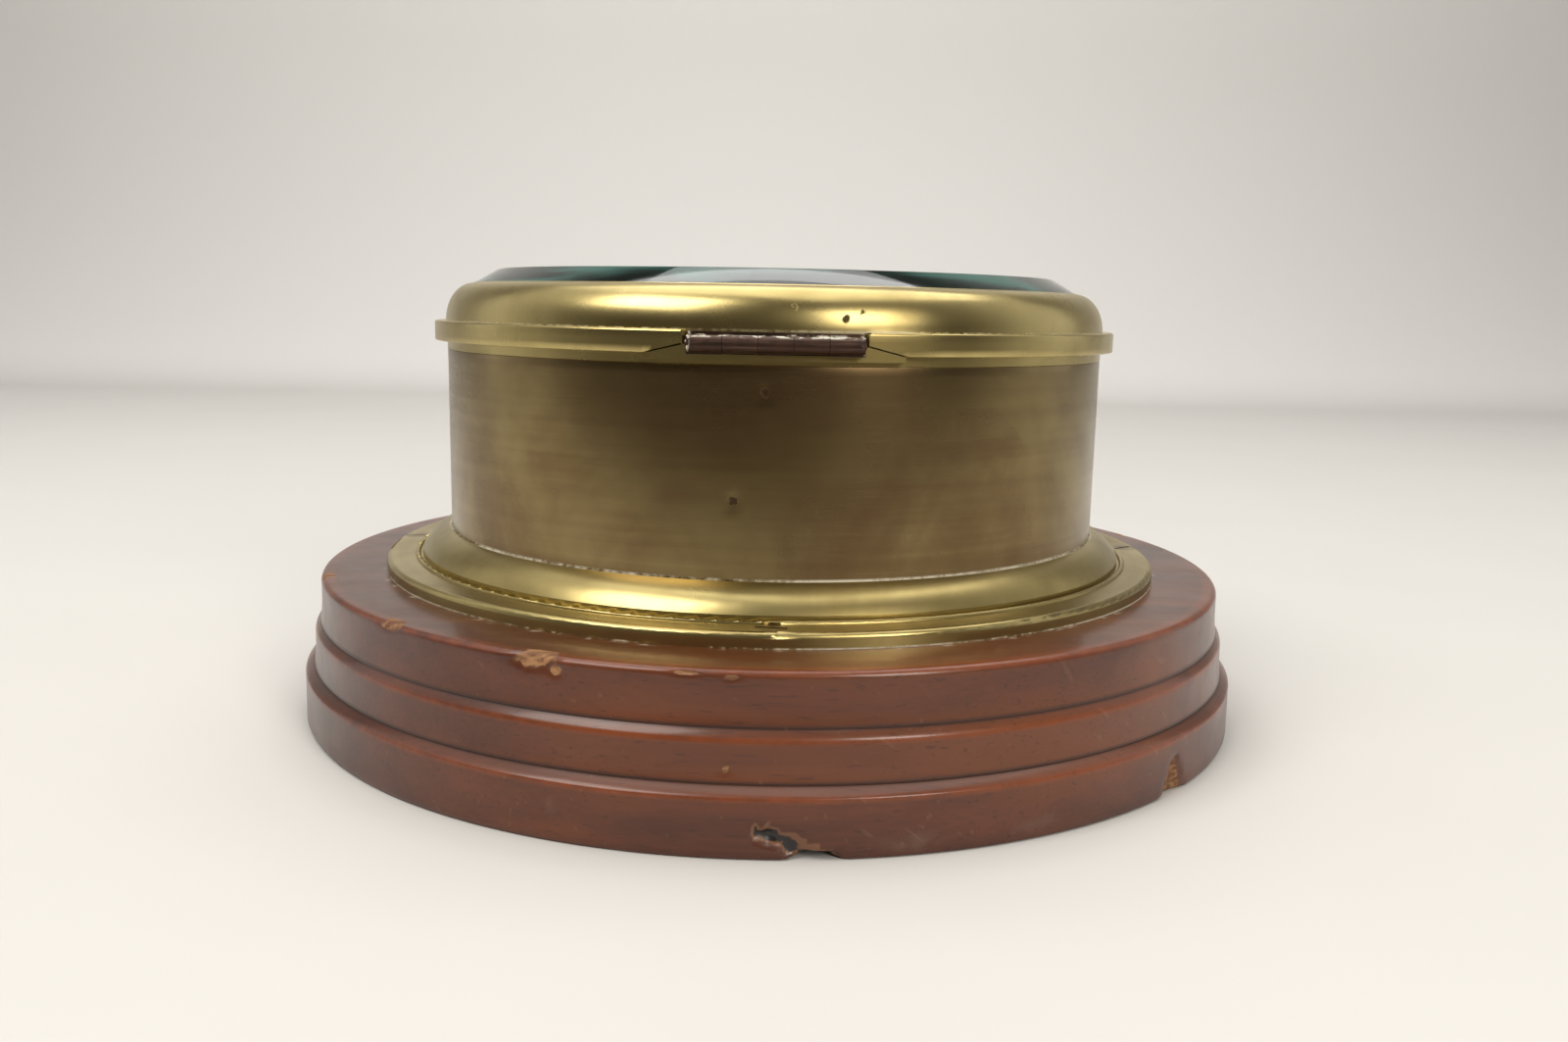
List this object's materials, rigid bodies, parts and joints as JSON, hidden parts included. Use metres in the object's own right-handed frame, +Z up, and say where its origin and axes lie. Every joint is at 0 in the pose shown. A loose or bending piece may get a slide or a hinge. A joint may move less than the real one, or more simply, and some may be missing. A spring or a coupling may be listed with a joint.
{
  "type": "binnacle compass",
  "caption": "Round gimballed marine compass in a brass drum with a hinged glazed brass lid, on a stepped turned wooden base.",
  "frame": {"origin": "centre of the wooden base's underside", "axes": "+Z up along the drum's axis, -Y towards the lid's hinge, +X to the right seen from the hinge side"},
  "size_m": [0.257, 0.257, 0.1171],
  "materials": {
    "mahogany": "french polished",
    "drum_brass": "brown patina, brushed",
    "bright_brass": "worn polish",
    "inner_brass": "dull lacquered",
    "hinge_bronze": "dark bronze",
    "screw_brass": "turned",
    "steel": "blued",
    "lead": "dull grey",
    "lid_glass": "thick bevelled",
    "bowl_glass": "clear",
    "jewel": "polished",
    "rubber": "matt",
    "card_paint": "enamelled"
  },
  "bodies": {
    "case": {"wood_base": "mahogany", "flange_ring": "bright_brass", "flange_screws": "screw_brass", "case_drum": "drum_brass", "case_floor": "inner_brass", "floor_screws": "screw_brass", "case_rim_ring": "bright_brass", "hinge_case_leaf": "hinge_bronze", "hinge_pin": "hinge_bronze", "gimbal_brackets": "inner_brass"},
    "lid": {"bezel_ring": "bright_brass", "bezel_glass": "lid_glass", "glass_gasket": "rubber", "glass_retaining_ring": "inner_brass", "hinge_bezel_leaf": "hinge_bronze", "lift_tab": "bright_brass", "tab_screws": "screw_brass"},
    "gimbal": {"gimbal_ring": "inner_brass", "ring_trunnions": "screw_brass", "bowl_pivot_screws": "screw_brass"},
    "bowl": {"compass_bowl": "inner_brass", "bowl_gasket": "rubber", "bowl_glass": "bowl_glass", "verge_ring": "bright_brass", "verge_screws": "screw_brass", "filler_washer": "rubber", "filler_plug": "screw_brass", "keel_weight": "lead", "keel_nut": "screw_brass", "pivot_post": "inner_brass", "pivot_point": "steel", "lubber_line": "inner_brass"},
    "card": {"compass_card": "card_paint", "card_float": "inner_brass", "card_cap": "inner_brass", "jewel": "jewel", "card_magnets": "steel"}
  },
  "joints": [
    {"name": "lid_hinge", "type": "hinge", "parent": "case", "child": "lid", "pos_m": [0, -0.0945, 0.1005], "axis": [1, 0, 0], "range_deg": [0, 110]},
    {"name": "gimbal_pitch", "type": "hinge", "parent": "case", "child": "gimbal", "pos_m": [0, 0, 0.072], "axis": [1, 0, 0], "range_deg": [-15, 15]},
    {"name": "gimbal_roll", "type": "hinge", "parent": "gimbal", "child": "bowl", "pos_m": [0, 0, 0.072], "axis": [0, 1, 0], "range_deg": [-15, 15]},
    {"name": "card_turn", "type": "hinge", "parent": "bowl", "child": "card", "pos_m": [0, 0, 0.072], "axis": [0, 0, 1], "continuous": true}
  ]
}
